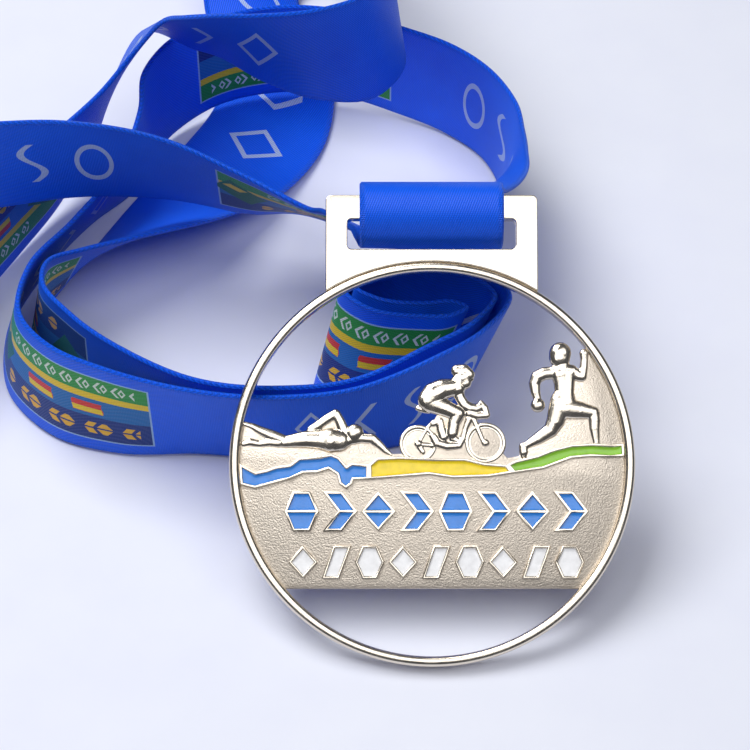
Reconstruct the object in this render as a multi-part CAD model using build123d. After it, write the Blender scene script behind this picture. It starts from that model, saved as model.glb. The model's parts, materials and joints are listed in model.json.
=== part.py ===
from build123d import *
import math
import os

# A finisher medal on its ribbon, in millimetres, +Z up.
# The medal is modelled flat, with its centre at the ring's centre, u to its right, v towards the hanger and
# n out of its front. It is then tilted: its lower rim stands on the table and its hanger bar is held up by the
# ribbon. The ribbon is one band that goes round the bar, through the slot, and lies on edge in curls.

# Ring and hanger
RING_DIAMETER = 70.0
RING_WALL = 1.8
MEDAL_DEPTH = 3.0
RIM_CHAMFER = 0.5
RIBBON_WIDTH = 25.0
RIBBON_THICKNESS = 0.9
SLOT_SIDE_GAP = 2.15        # beside the ribbon, at each end of the slot
SLOT_HEIGHT = 5.3
SLOT_CORNER = 0.8
BAR_HEIGHT = 4.2            # of the bar over the slot
PLATE_SIDE = 3.75           # from the slot's end to the plate's side
SLOT_ABOVE_RING = 2.2       # from the ring's top to the slot
PLATE_CORNER = 1.0
BAR_Z = 44.6                # height of the bar's centre over the table
BAR_Y = 37.4                # the ribbon's wrap is round this line

# Scene inside the ring, levels along n
PANEL_BACK = -1.1
PANEL_FACE = 0.2
FIGURE_FACE = 1.1
BORDER_FACE = 0.75
ENAMEL_FACE = 0.5
BORDER = 0.45               # width of a raised border
PANEL_BOTTOM = -21.6        # the panel's lower edge, along v

# Rows of enamelled marks
UPPER_ROW_V = -8.35
UPPER_MARK = (6.0, 6.9)     # width and height
UPPER_PITCH = 6.62
UPPER_COUNT = 8
LOWER_ROW_V = -17.1
LOWER_MARK = (5.1, 5.7)
LOWER_PITCH = 5.72
LOWER_COUNT = 9
ROWS_CENTRE_U = 0.7
SPLIT_BAR = 0.4

# Seam that closes the ribbon into a loop
STITCH = (1.8, 0.3, 0.25)   # along the ribbon's width, along its length, out of its face
STITCH_COUNT = 9
SEAM_STATION = 34           # the lap lies just after this station of the route
SECTIONS_PER_STATION = 3

ring_radius = RING_DIAMETER / 2
hole_radius = ring_radius - RING_WALL
slot_length = RIBBON_WIDTH + 2 * SLOT_SIDE_GAP
plate_width = slot_length + 2 * PLATE_SIDE
slot_v = ring_radius + SLOT_ABOVE_RING + SLOT_HEIGHT / 2
bar_v = slot_v + SLOT_HEIGHT / 2 + BAR_HEIGHT / 2
plate_top = bar_v + BAR_HEIGHT / 2
half_depth = MEDAL_DEPTH / 2

# The tilt at which the lower rim's back edge touches the table and the bar is at its height.
reach = bar_v + ring_radius
tilt = math.asin(BAR_Z / math.hypot(reach, half_depth)) - math.atan(half_depth / reach)
bar_centre = Vector(0, BAR_Y, BAR_Z)
up_the_medal = Vector(0, math.cos(tilt), math.sin(tilt))
ring_centre = bar_centre - up_the_medal * bar_v
medal_plane = Plane(ring_centre, x_dir=(1, 0, 0), z_dir=(0, -math.sin(tilt), math.cos(tilt)))


def plate(sketch, low, high):
    """The sketch as a plate between two levels along n."""
    return extrude(Pos(0, 0, low) * sketch, high - low)


def outline(points):
    """A flat shape whose corners are the points."""
    return make_face(Polyline(*points, close=True))


def limb(start, end):
    """A tapered limb from one (u, v, radius) to the next, as the hull of two circles."""
    u1, v1, r1 = start
    u2, v2, r2 = end
    length = math.hypot(u2 - u1, v2 - v1)
    heading = math.atan2(v2 - v1, u2 - u1)
    lean = math.acos((r1 - r2) / length)
    corners = []
    for u, v, r, side in ((u1, v1, r1, 1), (u2, v2, r2, 1), (u2, v2, r2, -1), (u1, v1, r1, -1)):
        angle = heading + side * lean
        corners.append((u + r * math.cos(angle), v + r * math.sin(angle)))
    return outline(corners) + Pos(u1, v1) * Circle(r1) + Pos(u2, v2) * Circle(r2)


def figure(chains, extras):
    """A figure's silhouette: chains of limbs, and whatever else it is made of."""
    shape = extras
    for chain in chains:
        for start, end in zip(chain, chain[1:]):
            shape = shape + limb(start, end)
    return shape


# What meets the ring is drawn a little past it and cut off at the ring's inner wall.
past_ring = hole_radius + 0.8
feet = hole_radius - 0.8

# The band across the ring: wave, road and hill, each between an upper and a lower edge from left to right.
WAVE_TOP = [(-past_ring, 0.4), (-30.4, -1.6), (-28.5, -1.2), (-26.9, -0.6), (-24.5, -0.3), (-22.9, 0.9), (-19.4, 1.1),
            (-17.4, 1.6), (-16, 1), (-14.7, -0.6), (-13.9, 0), (-10.9, -0.3)]
WAVE_BOTTOM = [(-past_ring, -3.5), (-30.5, -4.4), (-26, -3.2), (-24.5, -2.9), (-22.2, -1.8), (-19.7, -1.7), (-17.8, -1.1),
               (-16.4, -2), (-16, -3.6), (-14.8, -4.5), (-13.8, -3.7), (-13.5, -2.9), (-10.9, -2.9)]
ROAD_TOP = [(-10.9, -0.3), (-9.5, 0.9), (-5.3, 1.1), (0, 0.8), (5.7, 0.8), (9, 0), (12.8, -0.3)]
ROAD_BOTTOM = [(-10.9, -2.9), (-5.5, -2.4), (-0.5, -2), (3.6, -2.6), (9.8, -2.4), (14.1, -1.8)]
HILL_TOP = [(12.8, -0.3), (14.3, 0.4), (18.1, 1.3), (20.9, 2.4), (24.1, 3.2), (27.8, 3.4), (31, 3.2), (past_ring, 3.5)]
HILL_BOTTOM = [(14.1, -1.8), (19.2, -1.0), (24.1, 0.8), (27.4, 1.1), (30.8, 0.9), (past_ring, 1.2)]

# The panel's upper edge, from the left of the ring to its right, behind the three figures.
PANEL_TOP = [(-past_ring, 6.6), (-30.8, 6.4), (-29.4, 5.2), (-27.4, 4.9), (-25.4, 3.7), (-22, 4.7), (-20.6, 6.1),
             (-19, 7.3), (-16.9, 8.5), (-15.7, 6.6), (-15, 4.9), (-13.4, 5.6), (-12.4, 4.5), (-10.4, 4.4),
             (-9, 3), (-7.3, 1.6), (-4.6, 1.6), (-3, 5.5), (0, 6.8), (1, 8.6), (5.4, 8.6), (7, 7.4), (9.5, 6.2),
             (12, 2), (13, 0.9), (14.9, 1.2), (16.2, 3), (20.2, 5.6), (21, 9), (22.3, 12), (22.5, 15.7),
             (25.5, 15.1), (26.3, 17), (26.4, 19.4), (past_ring, 20.6)]

SWIMMER = [
    [(-feet, 6.6, 0.35), (-30.6, 6.5, 0.4), (-28.2, 4.9, 0.75), (-25.2, 3.6, 0.8)],
    [(-feet, 3.3, 0.5), (-28.0, 3.7, 0.7), (-25.2, 3.5, 0.8), (-21.5, 4.1, 1.1), (-17.2, 4.1, 1.5), (-15.5, 3.9, 1.4)],
    [(-15.9, 5.0, 0.9), (-16.7, 8.2, 0.75), (-20.4, 6.1, 0.7)],
    [(-13.6, 4.9, 1.1), (-13.1, 5.1, 1.15)],
    [(-14.5, 4.0, 0.8), (-10.7, 4.3, 0.6), (-9.3, 3.3, 0.55), (-7.2, 1.6, 0.3)],
]
RUNNER = [
    [(22.2, 18.6, 1.5), (22.4, 19.0, 1.45)],
    [(22.5, 17.6, 0.9), (22.7, 15.4, 1.7), (22.8, 12.3, 1.3), (22.5, 10.4, 1.7)],
    [(20.8, 15.4, 0.75), (18.5, 15.0, 0.65), (17.9, 13.6, 0.6), (18.1, 11.8, 0.55), (18.4, 9.9, 0.8)],
    [(22.7, 16.0, 0.8), (24.4, 15.8, 0.7), (25.7, 15.0, 0.6), (26.3, 18.7, 0.55)],
    [(23.0, 9.7, 1.3), (28.0, 8.9, 0.85), (28.3, 6.5, 0.65), (28.6, 3.0, 0.42), (30.2, 2.2, 0.3)],
    [(21.9, 9.6, 1.3), (20.9, 5.8, 0.9), (16.4, 3.0, 0.5), (15.6, 1.4, 0.45)],
]
CYCLIST = [
    [(4.7, 15.8, 1.1), (6.0, 15.3, 1.1), (5.7, 13.9, 0.9), (4.2, 13.2, 1.1)],
    [(-0.3, 10.7, 1.6), (1.2, 12.4, 1.6), (4.0, 12.9, 1.2), (5.6, 9.6, 0.8), (8.3, 9.5, 0.7)],
    [(0.2, 10.5, 1.4), (4.8, 8.4, 1.2), (3.7, 4.2, 0.8), (4.4, 3.7, 0.6)],
    [(-2.2, 9.5, 0.4), (-0.5, 9.3, 0.4)],
    [(0.0, 6.9, 0.45), (1.6, 8.0, 0.6), (2.2, 5.4, 0.7)],
    [(0.9, 5.0, 0.9), (2.6, 3.0, 0.8), (4.9, 3.1, 0.8), (5.9, 6.4, 0.5), (6.4, 8.4, 1.0), (9.3, 8.0, 0.6), (8.6, 10.1, 0.35)],
    [(7.1, 7.4, 0.4), (8.8, 3.2, 0.35)],
    [(0.0, 6.6, 0.3), (-2.2, 3.2, 0.3), (1.0, 3.2, 0.3)],
]
WHEELS = [(-2.4, 3.3, 3.2), (9.3, 3.4, 3.45)]
WHEEL_RIM = 0.6
HUB_RADIUS = 0.7


def band(top, bottom):
    return outline(top + bottom[::-1]) & Circle(hole_radius)


def wheels(rim):
    """The two wheels' rims, or their whole discs."""
    shape = Sketch()
    for u, v, radius in WHEELS:
        wheel = Circle(radius) - Circle(radius - rim) + Circle(HUB_RADIUS) if rim else Circle(radius)
        shape = shape + Pos(u, v) * wheel
    return shape


# ---- The casting: ring and hanger plate ----

def make_ring():
    ring = Cylinder(ring_radius, MEDAL_DEPTH) - Cylinder(hole_radius, MEDAL_DEPTH)
    front = ring.edges().filter_by(GeomType.CIRCLE).group_by(Axis.Z)[-1]
    return chamfer(front, RIM_CHAMFER)


def make_plate():
    height = plate_top
    blank = Pos(0, height / 2) * Rectangle(plate_width, height)
    corners = blank.vertices().group_by(Axis.Y)[-1]
    slot = Pos(0, slot_v) * RectangleRounded(slot_length, SLOT_HEIGHT, SLOT_CORNER)
    shape = fillet(corners, PLATE_CORNER) - Circle(ring_radius) - slot
    return plate(shape, -half_depth, half_depth)


# ---- Marks of the two rows ----

def chevron(width, height):
    tail = width * 0.56
    w, h = width / 2, height / 2
    return outline([(-w, h), (-w + tail, h), (w, 0), (-w + tail, -h), (-w, -h), (w - tail, 0)])


def lozenge(width, height):
    return outline([(-width / 2, 0), (0, height / 2), (width / 2, 0), (0, -height / 2)])


def hexagon(width, height):
    w, h = width / 2, height / 2
    return outline([(-w, 0), (-w / 2, h), (w / 2, h), (w, 0), (w / 2, -h), (-w / 2, -h)])


def slanted_bar(width, height):
    w, h, lean = width / 2, height / 2, width * 0.4
    return outline([(-w, -h), (-w + lean, h), (w, h), (w - lean, -h)])


def mark_row(shapes, count, size, pitch, row_v, split):
    """Borders and fillings of one row; each filling sits inside its mark's border."""
    borders = []
    fillings = []
    for k in range(count):
        place = Pos(ROWS_CENTRE_U + (k - (count - 1) / 2) * pitch, row_v)
        outer = shapes[k % len(shapes)](*size)
        inner = offset(outer, -BORDER, kind=Kind.INTERSECTION)
        if split:
            inner = inner - Rectangle(2 * size[0], SPLIT_BAR)
        borders.append(plate(place * (outer - inner), PANEL_FACE, BORDER_FACE))
        fillings.append(plate(place * inner, PANEL_FACE, ENAMEL_FACE))
    return borders, fillings


# ---- Ribbon ----
# Stations of the route, chosen by hand: the centre line's point, and the direction across the ribbon.
ROUTE = {
    "ribbon_bar_wrap": [
        ((0, 41.5, 46.3), (-1, 0, 0)),
        ((0, 37.4, 48.4), (-1, 0, 0)),
        ((0, 34.1, 46.8), (-1, 0, 0)),
        ((0, 32.7, 43.3), (-1, 0, 0)),
    ],
    "ribbon_slot_leg": [
        ((0, 33.6, 39.3), (-1, 0, 0)),
        ((-1, 37, 34.7), (-0.98, -0.01, 0.2)),
        ((-3.5, 42.3, 30.3), (-0.88, -0.12, 0.47)),
        ((-8.5, 47.5, 26.4), (-0.69, -0.29, 0.67)),
        ((-14.5, 52.4, 24.4), (-0.39, -0.47, 0.79)),
    ],
    "ribbon_left_span": [
        ((-22, 55.8, 24.2), (0, -0.65, 0.76)),
        ((-33, 58.3, 26), (0, -0.47, 0.88)),
        ((-47, 60.3, 30.4), (0, -0.32, 0.95)),
        ((-65, 57.2, 36.4), (0, -0.2, 0.98)),
        ((-80, 53.2, 38.8), (0, -0.12, 0.99)),
    ],
    "ribbon_left_loop": [
        ((-94, 52.6, 38), (0, -0.07, 1)),
        ((-107, 50.5, 32), (0, -0.07, 1)),
        ((-115, 42.9, 25), (0, -0.07, 1)),
        ((-112.5, 32.2, 19.5), (0, -0.07, 1)),
        ((-101.5, 29.9, 15.3), (0, -0.07, 1)),
        ((-92.5, 37.9, 13.4), (0, -0.07, 1)),
    ],
    "ribbon_left_return": [
        ((-86.5, 51.7, 12.8), (0, -0.07, 1)),
        ((-78, 66, 12.8), (0.05, -0.07, 1)),
        ((-70, 76.9, 14.5), (0.1, -0.17, 0.98)),
    ],
    "ribbon_rising_span": [
        ((-63, 84.5, 20), (0.15, -0.38, 0.91)),
        ((-57.2, 90.6, 28.1), (0.27, -0.49, 0.83)),
        ((-51.2, 93.3, 35.6), (0.2, -0.66, 0.72)),
    ],
    "ribbon_rear_arch": [
        ((-44.5, 89, 37.8), (0, -0.55, 0.83)),
        ((-39.5, 86.2, 39.6), (0, -0.49, 0.87)),
        ((-31, 83.1, 39.4), (0, -0.3, 0.95)),
        ((-20, 81.5, 39.2), (0, -0.07, 1)),
        ((-10.5, 84.1, 39.2), (-0.05, 0.09, 0.99)),
        ((-6, 91, 39.8), (-0.12, 0.06, 0.99)),
    ],
    "ribbon_rear_turn": [
        ((-7.5, 100.5, 40.3), (-0.1, -0.07, 0.99)),
        ((-10.5, 112.2, 39.2), (-0.05, -0.07, 1)),
        ((-13, 125.2, 33), (0, -0.07, 1)),
        ((-16, 138.5, 25), (0.05, 0.09, 0.99)),
        ((-23, 147, 16.2), (-0.15, 0.38, 0.92)),
        ((-32, 143.8, 11.3), (-0.5, 0.4, 0.76)),
    ],
    "ribbon_flat_span": [
        ((-34, 132, 4.8), (-0.87, 0.28, 0.38)),
        ((-30.5, 118.5, 1.3), (-0.98, 0.22, 0.02)),
        ((-30.5, 103.3, 0.6), (-0.88, 0.48, 0)),
        ((-37.5, 88.4, 1.7), (-0.83, 0.55, -0.08)),
    ],
    "ribbon_twisted_span": [
        ((-47, 74.4, 5.5), (-0.76, 0.52, -0.39)),
        ((-58, 61.4, 9.9), (-0.44, 0.53, -0.72)),
    ],
    "ribbon_inner_return": [
        ((-66.5, 52.8, 11.7), (-0.26, 0.4, -0.88)),
        ((-71.5, 45.9, 12.5), (-0.2, 0.19, -0.96)),
        ((-71, 38.5, 12.7), (-0.12, 0.07, -0.99)),
    ],
    "ribbon_inner_span": [
        ((-65, 31.6, 12.8), (-0.05, 0.09, -0.99)),
        ((-55, 23.2, 12.8), (0, 0.07, -1)),
        ((-42, 18.1, 12.7), (0, 0.22, -0.98)),
        ((-26, 16.2, 12.7), (0, 0.23, -0.97)),
        ((-11, 18.6, 12.7), (0, 0.2, -0.98)),
        ((-2.6, 23.2, 12.5), (-0.13, 0.05, -0.98)),
    ],
    "ribbon_roll_inner": [
        ((4.9, 29.1, 12.3), (-0.28, -0.05, -0.96)),
        ((7.5, 34.2, 12.3), (-0.35, -0.13, -0.93)),
        ((3.6, 38.4, 12.3), (-0.33, -0.13, -0.93)),
        ((-4.5, 39.5, 12.3), (-0.28, -0.13, -0.95)),
        ((-12.6, 38.6, 12.3), (-0.24, -0.13, -0.96)),
        ((-15.8, 35.7, 12.3), (-0.22, -0.13, -0.97)),
        ((-12.2, 33.1, 12.3), (-0.24, -0.13, -0.96)),
        ((-4.5, 32.1, 12.3), (-0.28, -0.13, -0.95)),
        ((0.6, 32.5, 12.3), (-0.31, -0.13, -0.94)),
    ],
    "ribbon_roll_outer": [
        ((2.7, 31.2, 12.3), (-0.32, -0.13, -0.94)),
        ((0.6, 29.6, 12.3), (-0.31, -0.13, -0.94)),
        ((-5.4, 29.1, 12.3), (-0.28, -0.13, -0.95)),
        ((-13.9, 30.8, 12.3), (-0.23, -0.13, -0.96)),
        ((-18.2, 35.7, 12.3), (-0.21, -0.13, -0.97)),
        ((-13.9, 40.6, 12.3), (-0.23, -0.13, -0.96)),
        ((-4.5, 41.7, 12.3), (-0.28, -0.13, -0.95)),
        ((5.3, 40.3, 12.3), (-0.33, -0.13, -0.93)),
        ((10, 34.4, 12.3), (-0.36, -0.13, -0.92)),
    ],
    "ribbon_front_span": [
        ((6.3, 26.8, 12.3), (-0.28, -0.05, -0.96)),
        ((-1, 20.8, 12.5), (-0.13, 0.05, -0.98)),
        ((-11, 16.3, 12.7), (0, 0.2, -0.98)),
        ((-26, 14.1, 12.7), (0, 0.23, -0.97)),
        ((-42, 15.4, 12.7), (0, 0.22, -0.98)),
        ((-57, 17.9, 12.7), (0, 0.05, -1)),
        ((-68, 22.7, 12.7), (-0.05, -0.01, -1)),
    ],
    "ribbon_left_bend": [
        ((-75, 31.1, 12.6), (-0.15, 0.05, -0.99)),
        ((-75.5, 44.3, 12.5), (-0.25, 0.17, -0.95)),
        ((-69, 59.2, 11.5), (-0.31, 0.31, -0.9)),
        ((-61.5, 71.8, 11.7), (-0.3, 0.27, -0.92)),
    ],
    "ribbon_rear_corner": [
        ((-55.5, 83.4, 12.6), (-0.1, 0.12, -0.99)),
        ((-54, 92.4, 12.8), (0, 0.07, -1)),
        ((-50, 99.2, 13.3), (0, 0.02, -1)),
    ],
    "ribbon_rear_span": [
        ((-42, 104.7, 14.6), (0, 0.07, -1)),
        ((-31, 108.1, 15), (0, 0.07, -1)),
        ((-18, 107.8, 14.9), (0, 0.07, -1)),
    ],
    "ribbon_right_span": [
        ((-5, 103.9, 13.6), (0, 0.05, -1)),
        ((5, 99.2, 12.8), (-0.03, 0.04, -1)),
        ((12, 92.4, 12.8), (-0.03, 0.04, -1)),
        ((15.8, 83.9, 12.9), (-0.08, 0.04, -1)),
    ],
    "ribbon_bar_leg": [
        ((15.5, 74.9, 14.7), (-0.2, 0.07, -0.98)),
        ((12, 65.8, 19.6), (-0.51, 0.06, -0.86)),
        ((7, 57.2, 27), (-0.86, 0.04, -0.51)),
        ((2.5, 49.6, 35.2), (-0.99, 0.01, -0.15)),
        ((0.5, 44.5, 41.7), (-1, 0, 0)),
    ],
}


def blend(values, spans, t):
    """A smooth curve through the middle two of four values; spans are the distances between them."""
    before, here, there, after = values
    d0, d1, d2 = spans
    leave = ((here - before) * (d1 / d0) + (there - here) * (d0 / d1)) * (d1 / (d0 + d1))
    arrive = ((there - here) * (d2 / d1) + (after - there) * (d1 / d2)) * (d1 / (d1 + d2))
    return (here * (2 * t**3 - 3 * t**2 + 1) + leave * (t**3 - 2 * t**2 + t)
            + there * (3 * t**2 - 2 * t**3) + arrive * (t**3 - t**2))


stations = []
for span in ROUTE.values():
    for centre, across in span:
        stations.append((Vector(*centre), Vector(*across).normalized()))

centres = []
acrosses = []
for i in range(len(stations)):
    near = [stations[(i + k) % len(stations)] for k in (-1, 0, 1, 2)]
    gaps = [(near[k + 1][0] - near[k][0]).length for k in range(3)]
    for step in range(SECTIONS_PER_STATION):
        t = step / SECTIONS_PER_STATION
        centres.append(blend([s[0] for s in near], gaps, t))
        acrosses.append(blend([s[1] for s in near], gaps, t).normalized())


def face_direction(k):
    """Out of the ribbon's face, at section k."""
    travel = centres[(k + 1) % len(centres)] - centres[k - 1]
    return acrosses[k].cross(travel).normalized()


def section(k, inner, outer):
    """The ribbon's cross section at section k, from one distance off its middle to another."""
    k = k % len(centres)
    edge = acrosses[k] * (RIBBON_WIDTH / 2)
    out = face_direction(k)
    low = centres[k] + out * inner
    high = centres[k] + out * outer
    return Face(Wire.make_polygon([low - edge, low + edge, high + edge, high - edge], close=True))


def strip(first, last, inner=-RIBBON_THICKNESS / 2, outer=RIBBON_THICKNESS / 2):
    """A stretch of ribbon from section first to section last."""
    return loft([section(k, inner, outer) for k in range(first, last + 1)], ruled=True)


def make_ribbon():
    pieces = {}
    first = 0
    for name, span in ROUTE.items():
        last = first + len(span) * SECTIONS_PER_STATION
        pieces[name] = strip(first, last)
        first = last
    lap_start = SEAM_STATION * SECTIONS_PER_STATION
    lap_end = lap_start + SECTIONS_PER_STATION
    face = RIBBON_THICKNESS / 2
    pieces["ribbon_seam_lap"] = strip(lap_start, lap_end, face, face + RIBBON_THICKNESS)
    stitches = []
    middle = lap_start + 1
    along = (centres[middle + 1] - centres[middle]).normalized()
    for k in range(STITCH_COUNT):
        place = (k + 0.5) / STITCH_COUNT - 0.5
        spot = centres[middle] + acrosses[middle] * (place * RIBBON_WIDTH) + along * 2.5
        out = acrosses[middle].cross(along).normalized()
        seat = spot + out * (face + RIBBON_THICKNESS + STITCH[2] / 2)
        frame = Plane(seat, x_dir=acrosses[middle], z_dir=out)
        stitches.append(frame * Box(*STITCH))
    pieces["seam_stitching"] = Compound(children=stitches)
    return pieces


# ---- The whole ----
band_shapes = {
    "wave_enamel": band(WAVE_TOP, WAVE_BOTTOM),
    "road_enamel": band(ROAD_TOP, ROAD_BOTTOM),
    "hill_enamel": band(HILL_TOP, HILL_BOTTOM),
}
panel_shape = outline(PANEL_TOP + [(past_ring, PANEL_BOTTOM), (-past_ring, PANEL_BOTTOM)])
panel_shape = (panel_shape & Circle(hole_radius)) + wheels(0)
panel = plate(panel_shape, PANEL_BACK, PANEL_FACE)

fillings = {}
borders = Part()
for name, shape in band_shapes.items():
    inner = offset(shape, -BORDER)
    fillings[name] = plate(inner, PANEL_FACE, ENAMEL_FACE)
    borders = borders + plate(shape - inner, PANEL_FACE, BORDER_FACE)

band_solid = borders
for filling in fillings.values():
    band_solid = band_solid + filling

medal = {"rim_ring": make_ring(), "hanger_plate": make_plate(), "scene_panel": panel, "enamel_borders": borders}
medal.update(fillings)
for name, chains, extras in (
    ("swimmer_relief", SWIMMER, Sketch()),
    ("cyclist_relief", CYCLIST, wheels(WHEEL_RIM)),
    ("runner_relief", RUNNER, Sketch()),
):
    silhouette = figure(chains, extras) & Circle(hole_radius)
    medal[name] = plate(silhouette, PANEL_BACK, FIGURE_FACE) - panel - band_solid

upper = mark_row([hexagon, chevron, lozenge, chevron], UPPER_COUNT, UPPER_MARK, UPPER_PITCH, UPPER_ROW_V, True)
lower = mark_row([lozenge, slanted_bar, hexagon], LOWER_COUNT, LOWER_MARK, LOWER_PITCH, LOWER_ROW_V, False)
medal["upper_row_borders"] = Compound(children=upper[0])
medal["upper_row_enamel"] = Compound(children=upper[1])
medal["lower_row_borders"] = Compound(children=lower[0])
medal["lower_row_enamel"] = Compound(children=lower[1])

nodes = make_ribbon()
for name, shape in medal.items():
    nodes[name] = medal_plane.location * shape

whole = Compound([solid for shape in nodes.values() for solid in shape.solids()]).bounding_box()
to_origin = Location((-whole.center().X, -whole.center().Y, -whole.min.Z))
print("bar centre", (to_origin * Location(bar_centre)).position, "tilt", math.degrees(tilt))
print("ring centre", (to_origin * Location(ring_centre)).position, "shift", to_origin.position)
print("size", whole.size)

os.makedirs("parts", exist_ok=True)
for name, shape in nodes.items():
    export_step(to_origin * shape, f"parts/{name}.step")
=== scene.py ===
import bpy
import json
import math
import numpy as np
from mathutils import Matrix, Vector
from mathutils.kdtree import KDTree


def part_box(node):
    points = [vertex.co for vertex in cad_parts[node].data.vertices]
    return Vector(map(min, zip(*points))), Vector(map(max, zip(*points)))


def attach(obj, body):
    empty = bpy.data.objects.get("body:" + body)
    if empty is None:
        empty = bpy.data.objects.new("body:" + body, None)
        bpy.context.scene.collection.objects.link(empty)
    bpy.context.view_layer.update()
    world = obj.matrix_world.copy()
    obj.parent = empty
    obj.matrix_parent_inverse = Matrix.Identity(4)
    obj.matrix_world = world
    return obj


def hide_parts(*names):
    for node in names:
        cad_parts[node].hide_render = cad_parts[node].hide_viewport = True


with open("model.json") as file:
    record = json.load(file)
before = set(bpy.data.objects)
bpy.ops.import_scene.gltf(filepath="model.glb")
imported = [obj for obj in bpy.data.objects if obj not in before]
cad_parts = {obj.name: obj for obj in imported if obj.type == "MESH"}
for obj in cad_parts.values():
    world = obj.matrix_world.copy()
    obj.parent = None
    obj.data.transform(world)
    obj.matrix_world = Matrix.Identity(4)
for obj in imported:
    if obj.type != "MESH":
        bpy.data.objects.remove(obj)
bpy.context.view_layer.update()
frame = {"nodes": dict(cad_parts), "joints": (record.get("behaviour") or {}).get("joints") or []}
MM = 0.001


# ---- Outer ring ----
# The medal is one zinc casting with bright nickel plate. Its outer ring has a rounded rim, polished in the barrel.
# Ring and athletes are shaped flat, in millimetres, with x to the right, y towards the hanger and z out of the face,
# and are then seated on the leaning medal.
RING_WALL = 1.8
RING_DEPTH = 3.0
RIM_ROUNDING = 0.75
RING_SEGMENTS = 256
ring_low, ring_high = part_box("rim_ring")
ring_centre = (ring_low + ring_high) / 2
ring_radius = (ring_high.x - ring_low.x) / 2 / MM
hinge = Vector(frame["joints"][0]["pos_m"])
up_medal = (hinge - ring_centre).normalized()
out_of_face = Vector((1, 0, 0)).cross(up_medal)
leaning = Matrix((Vector((1, 0, 0)), up_medal, out_of_face)).transposed().to_4x4()
from_flat = Matrix.Translation(ring_centre) @ leaning @ Matrix.Scale(MM, 4)


def pick(*pieces):
    """Selects just these pieces, the first of them active."""
    bpy.ops.object.select_all(action="DESELECT")
    for piece in pieces:
        piece.select_set(True)
    bpy.context.view_layer.objects.active = pieces[0]


def apply_modifier(piece, kind, **settings):
    """Adds a modifier with these settings and applies it."""
    modifier = piece.modifiers.new(kind.lower(), kind)
    for name, value in settings.items():
        setattr(modifier, name, value)
    pick(piece)
    bpy.ops.object.modifier_apply(modifier=modifier.name)


def linear(hex_colour):
    """A colour's sRGB hex digits as linear red, green, blue and full alpha."""
    values = [int(hex_colour[i:i + 2], 16) / 255 for i in (0, 2, 4)]
    return [v / 12.92 if v <= 0.04045 else ((v + 0.055) / 1.055) ** 2.4 for v in values] + [1.0]


def node(material, kind, inputs=None, **settings):
    """Adds a node to a material, with its settings, and its inputs set or linked."""
    made = material.node_tree.nodes.new(kind)
    for name, value in settings.items():
        setattr(made, name, value)
    for socket, value in (inputs or {}).items():
        if isinstance(value, bpy.types.NodeSocket):
            material.node_tree.links.new(value, made.inputs[socket])
        else:
            made.inputs[socket].default_value = value
    return made


def surface(name, inputs):
    """A new material whose only shader takes these inputs, and that shader."""
    material = bpy.data.materials.new(name)
    material.use_nodes = True
    shader = material.node_tree.nodes["Principled BSDF"]
    for socket, value in inputs.items():
        shader.inputs[socket].default_value = value
    return material, shader


def finish_with(piece, material):
    """Gives a piece this material and no other."""
    piece.data.materials.clear()
    piece.data.materials.append(material)


# Bright nickel over barrel-polished zinc: a warm mirror, a little soft, with the casting's faint ripple under it.
bright_nickel, shader = surface("bright_nickel_plate", {
    "Base Color": linear("E6DCCC"), "Metallic": 1.0, "Roughness": 0.2})
place = node(bright_nickel, "ShaderNodeTexCoord")
ripple = node(bright_nickel, "ShaderNodeTexNoise", {
    "Vector": place.outputs["Object"], "Scale": 1 / (2.2 * MM), "Detail": 3.0})
pits = node(bright_nickel, "ShaderNodeTexNoise", {
    "Vector": place.outputs["Object"], "Scale": 1 / (0.25 * MM), "Detail": 2.0})
haze = node(bright_nickel, "ShaderNodeMapRange", {
    "Value": ripple.outputs["Fac"], "From Min": 0.3, "From Max": 0.7, "To Min": 0.14, "To Max": 0.27})
relief = node(bright_nickel, "ShaderNodeBump", {
    "Height": ripple.outputs["Fac"], "Strength": 0.25, "Distance": 0.05 * MM})
relief = node(bright_nickel, "ShaderNodeBump", {
    "Height": pits.outputs["Fac"], "Strength": 0.12, "Distance": 0.02 * MM, "Normal": relief.outputs["Normal"]})
bright_nickel.node_tree.links.new(haze.outputs["Result"], shader.inputs["Roughness"])
bright_nickel.node_tree.links.new(relief.outputs["Normal"], shader.inputs["Normal"])


def seat_on_medal(piece, material, stands_for):
    """Puts a piece that was shaped flat, in millimetres, into its place on the leaning medal."""
    pick(piece)
    bpy.ops.object.transform_apply(location=True, rotation=True, scale=True)
    piece.data.transform(from_flat)
    finish_with(piece, material)
    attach(piece, "medal")
    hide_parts(stands_for)


bpy.ops.object.select_all(action="DESELECT")
bpy.ops.mesh.primitive_plane_add(
    size=1, location=(ring_radius - RING_WALL / 2, 0, 0), rotation=(math.pi / 2, 0, 0))
rim = bpy.context.object
rim.name = "polished_rim"
rim.scale = (RING_WALL, RING_DEPTH, 1)
bpy.ops.object.transform_apply(location=True, rotation=True, scale=True)
bpy.ops.object.mode_set(mode="EDIT")
bpy.ops.mesh.select_all(action="SELECT")
bpy.ops.mesh.bevel(offset=RIM_ROUNDING, segments=6, affect="VERTICES")
bpy.ops.mesh.delete(type="ONLY_FACE")
bpy.ops.mesh.select_all(action="SELECT")
bpy.ops.mesh.spin(steps=RING_SEGMENTS, angle=2 * math.pi, center=(0, 0, 0), axis=(0, 0, 1))
bpy.ops.mesh.select_all(action="SELECT")
bpy.ops.mesh.remove_doubles(threshold=0.001)
bpy.ops.mesh.normals_make_consistent(inside=False)
bpy.ops.object.mode_set(mode="OBJECT")
bpy.ops.object.shade_smooth_by_angle(angle=math.radians(40))
seat_on_medal(rim, bright_nickel, "rim_ring")


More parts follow.
